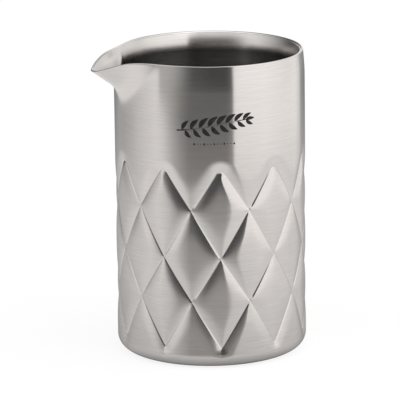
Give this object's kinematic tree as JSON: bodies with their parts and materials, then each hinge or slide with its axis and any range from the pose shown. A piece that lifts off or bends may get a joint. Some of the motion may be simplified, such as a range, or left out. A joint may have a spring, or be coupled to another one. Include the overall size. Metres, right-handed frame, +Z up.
{
  "type": "mixing glass",
  "caption": "Double-walled steel stirring vessel for mixing drinks, with a diamond lattice embossed in its outer wall, a narrow rounded rim and a pinched pouring lip.",
  "frame": {"origin": "on the vessel's axis, in the flat plane it stands on", "axes": "+Z up along the vessel's axis, -X towards the pouring lip, +Y to the side; the vessel is symmetric about the XZ plane"},
  "size_m": [0.1044, 0.09, 0.144],
  "materials": {
    "outer_steel": "satin brushed round the body, embossed lattice",
    "inner_steel": "coarser satin brushed round the wall",
    "rim_steel": "polished edge",
    "pan_steel": "plain pressed sheet",
    "weld_steel": "as welded, lightly oxidised",
    "seal_braze": "braze alloy, as flowed",
    "getter_tablet": "matte sintered metal",
    "clip_steel": "bright rolled strip",
    "cover_steel": "satin, brushed in rings"
  },
  "bodies": {
    "root": {"outer_shell": "outer_steel", "inner_cup": "inner_steel", "rim_weld": "rim_steel", "base_pan": "pan_steel", "base_weld": "weld_steel", "seal_plug": "seal_braze", "getter": "getter_tablet", "getter_clip": "clip_steel", "base_cover": "cover_steel"}
  },
  "joints": []
}
